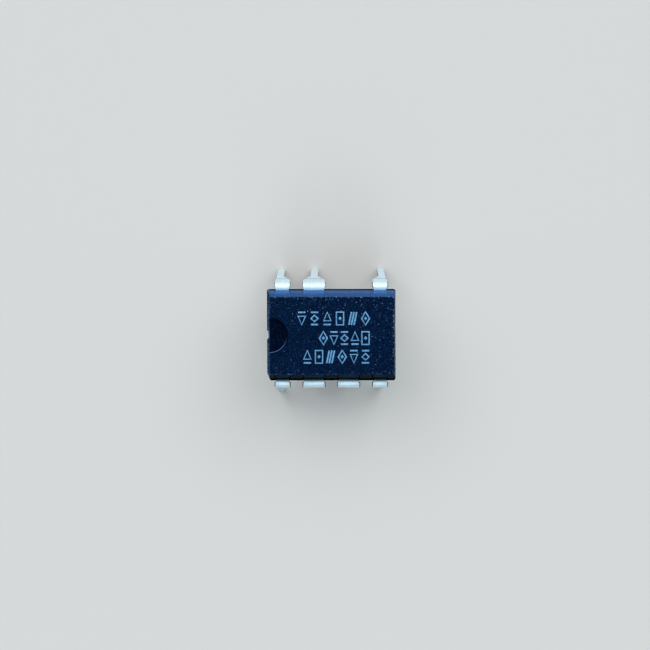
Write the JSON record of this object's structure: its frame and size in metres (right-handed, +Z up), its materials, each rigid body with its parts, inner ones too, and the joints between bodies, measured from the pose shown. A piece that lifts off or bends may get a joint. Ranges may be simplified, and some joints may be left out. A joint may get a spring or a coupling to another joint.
{
  "type": "dip integrated circuit chip",
  "caption": "Dual in-line power control chip: dark epoxy moulding with an end notch and splayed, tinned through-hole leads, one lead place left empty for creepage distance.",
  "frame": {"origin": "middle of the footprint, on the surface that the lead tips stand on", "axes": "+Z up out of the top face, +X along the moulding away from the end notch, +Y towards the row that lacks one lead"},
  "size_m": [0.0094, 0.0096, 0.0075],
  "materials": {
    "mould_compound": "satin",
    "tinned_copper": "satin",
    "solder": "matte",
    "silver_adhesive": "matte",
    "silicon": "gloss",
    "aluminium_wire": "satin",
    "gold_wire": "gloss"
  },
  "bodies": {
    "root": {"mould_body": "mould_compound", "lead_1": "tinned_copper", "lead_2": "tinned_copper", "ground_lead_frame": "tinned_copper", "lead_4": "tinned_copper", "lead_5": "tinned_copper", "drain_lead_frame": "tinned_copper", "switch_solder": "solder", "switch_die": "silicon", "control_adhesive": "silver_adhesive", "control_die": "silicon", "source_wire_left": "aluminium_wire", "source_wire_right": "aluminium_wire", "sense_wire": "gold_wire", "gate_wire": "gold_wire", "startup_wire": "gold_wire", "line_sense_wire": "gold_wire", "ground_wire": "gold_wire", "feedback_wire": "gold_wire", "supply_wire": "gold_wire"}
  },
  "joints": []
}
